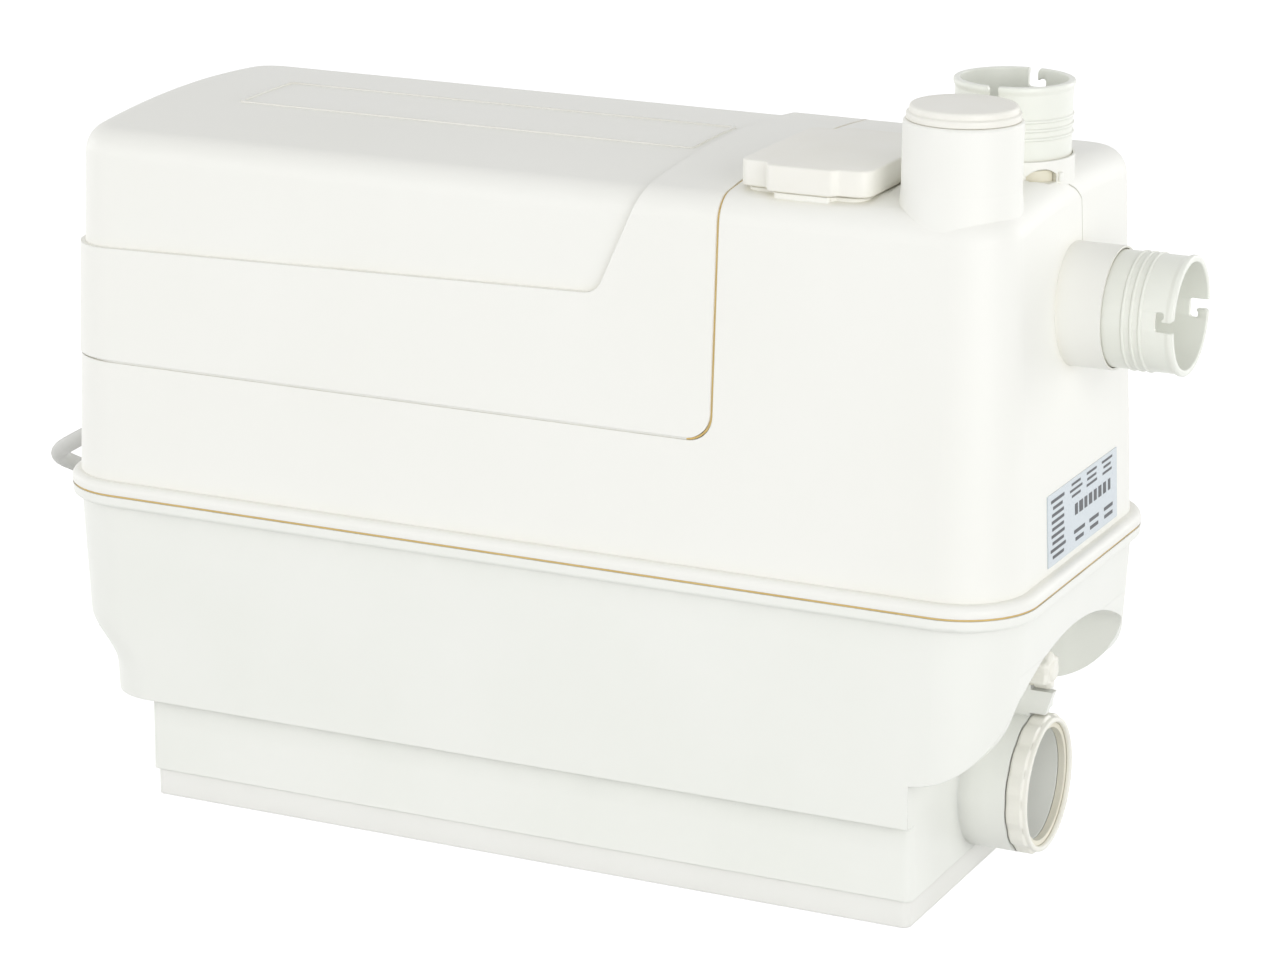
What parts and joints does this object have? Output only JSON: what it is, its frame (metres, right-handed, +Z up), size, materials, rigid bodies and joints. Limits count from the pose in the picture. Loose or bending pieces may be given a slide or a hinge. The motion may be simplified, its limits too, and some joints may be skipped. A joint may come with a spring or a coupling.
{
  "type": "wastewater lifting station",
  "caption": "Compact wastewater lifting station: long white housing on a stepped tank, lift-off motor cover, inspection cap, bayonet outlets, low inlet with union nut, mains lead.",
  "frame": {"origin": "middle of the base's underside, on the floor", "axes": "+X along the length to the low inlet end, +Y to the back, +Z up"},
  "size_m": [0.468, 0.2722, 0.284],
  "materials": {
    "tank_white": "satin",
    "pad_white": "satin",
    "gasket_gold": "matt",
    "cover_white": "satin",
    "plate_blue": "satin",
    "sleeve_grey": "satin",
    "seal_cream": "matt",
    "cap_white": "satin",
    "motor_metal": "cast",
    "screw_steel": "plain",
    "core_steel": "laminated",
    "bearing_steel": "polished",
    "seal_black": "matt",
    "pump_grey": "moulded",
    "pipe_grey": "moulded",
    "box_black": "moulded",
    "can_white": "smooth",
    "cord_grey": "matt",
    "plug_grey": "moulded"
  },
  "bodies": {
    "housing": {"tank": "tank_white", "base_pad": "pad_white", "tank_gasket": "gasket_gold", "main_cover": "cover_white", "rating_plate": "plate_blue", "top_sleeve": "sleeve_grey", "side_sleeve": "sleeve_grey", "top_seal": "seal_cream", "side_seal": "seal_cream", "motor_housing": "motor_metal", "motor_screws": "screw_steel", "stator": "core_steel", "motor_end_shield": "motor_metal", "bearings": "bearing_steel", "shaft_seal": "seal_black", "pump_casing": "pump_grey", "pump_column": "pump_grey", "discharge_pipe": "pipe_grey", "valve_body": "pipe_grey", "flap_pin": "bearing_steel", "outlet_tee": "pipe_grey", "level_bell": "pipe_grey", "level_switch": "box_black", "carbon_filter": "box_black", "control_box": "box_black", "capacitor": "can_white", "cable_gland": "cord_grey", "mains_cord": "cord_grey", "cord_coil": "cord_grey", "cord_tail": "cord_grey", "mains_plug": "plug_grey"},
    "rotor": {"shaft": "bearing_steel", "rotor_core": "core_steel", "cooling_fan": "box_black", "impeller": "pump_grey"},
    "flap": {"valve_flap": "seal_black"},
    "inspection_lid": {"inspection_cap": "cap_white", "cap_gasket": "seal_cream"},
    "inlet_stopper": {"inlet_plug": "cap_white"},
    "nut_ring": {"low_inlet_seal": "seal_cream"},
    "nut": {"low_inlet_nut": "cap_white"},
    "drain_ring": {"drain_washer": "seal_cream"},
    "drain": {"drain_cap": "cap_white"},
    "motor_lid": {"motor_cover": "cover_white"}
  },
  "joints": [
    {"name": "rotor_spin", "type": "hinge", "parent": "housing", "child": "rotor", "pos_m": [-0.06, 0, 0.126], "axis": [0, 0, 1], "continuous": true},
    {"name": "flap_swing", "type": "hinge", "parent": "housing", "child": "flap", "pos_m": [0.1403, 0, 0.1585], "axis": [0, -1, 0], "range_deg": [0, 60]},
    {"name": "cap_lift", "type": "slide", "parent": "housing", "child": "inspection_lid", "axis": [0, 0, 1], "range_m": [0, 0.04]},
    {"name": "stopper_lift", "type": "slide", "parent": "housing", "child": "inlet_stopper", "axis": [0, 0, 1], "range_m": [0, 0.04]},
    {"name": "nut_advance", "type": "slide", "parent": "housing", "child": "nut_ring", "axis": [1, 0, 0], "range_m": [0, 0.0061]},
    {"name": "nut_turn", "type": "hinge", "parent": "nut_ring", "child": "nut", "pos_m": [0.17, 0, 0.035], "axis": [1, 0, 0], "range_deg": [0, 720]},
    {"name": "drain_advance", "type": "slide", "parent": "housing", "child": "drain_ring", "axis": [1, 0, 0], "range_m": [0, 0.0046]},
    {"name": "drain_turn", "type": "hinge", "parent": "drain_ring", "child": "drain", "pos_m": [0.17, 0, 0.077], "axis": [1, 0, 0], "range_deg": [0, 720]},
    {"name": "motor_cover_lift", "type": "slide", "parent": "housing", "child": "motor_lid", "axis": [0, 0, 1], "range_m": [0, 0.12]}
  ],
  "couplings": [
    {"joint": "nut_advance", "follows": "nut_turn", "m_per_rad": 0.00047746},
    {"joint": "drain_advance", "follows": "drain_turn", "m_per_rad": 0.0003581}
  ]
}
